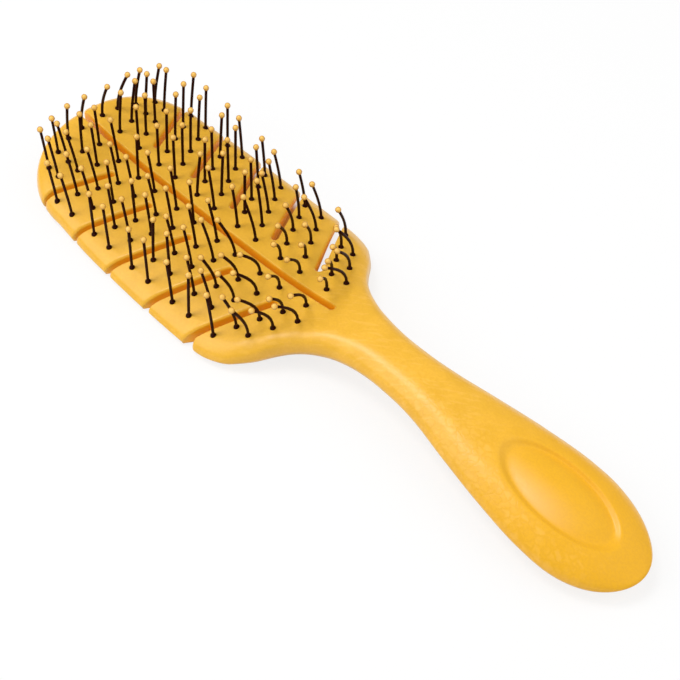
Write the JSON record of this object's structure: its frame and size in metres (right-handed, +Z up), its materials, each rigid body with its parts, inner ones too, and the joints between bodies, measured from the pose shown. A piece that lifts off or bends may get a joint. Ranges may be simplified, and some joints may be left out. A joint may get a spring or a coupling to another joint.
{
  "type": "vented paddle brush",
  "caption": "Detangling hair brush with a flat leaf-shaped head cut into vented lobes, flexible round-tipped pins and a smooth paddle handle with a thumb rest.",
  "frame": {"origin": "middle of the footprint, on the surface that the brush lies on, pins up", "axes": "+X along the brush from the head's tip towards the handle's end, +Y across it, +Z up, out of the pins"},
  "size_m": [0.2298, 0.068, 0.0297],
  "materials": {
    "shell_plastic": "satin",
    "cover_plastic": "satin",
    "pin_nylon": "satin"
  },
  "bodies": {
    "root": {"front_body": "shell_plastic", "back_cover": "cover_plastic", "pin_pad_left_1": "pin_nylon", "pin_pad_left_2": "pin_nylon", "pin_pad_left_3": "pin_nylon", "pin_pad_left_4": "pin_nylon", "pin_pad_left_5": "pin_nylon", "pin_pad_left_6": "pin_nylon", "pin_pad_right_1": "pin_nylon", "pin_pad_right_2": "pin_nylon", "pin_pad_right_3": "pin_nylon", "pin_pad_right_4": "pin_nylon", "pin_pad_right_5": "pin_nylon", "pin_pad_right_6": "pin_nylon"}
  },
  "joints": []
}
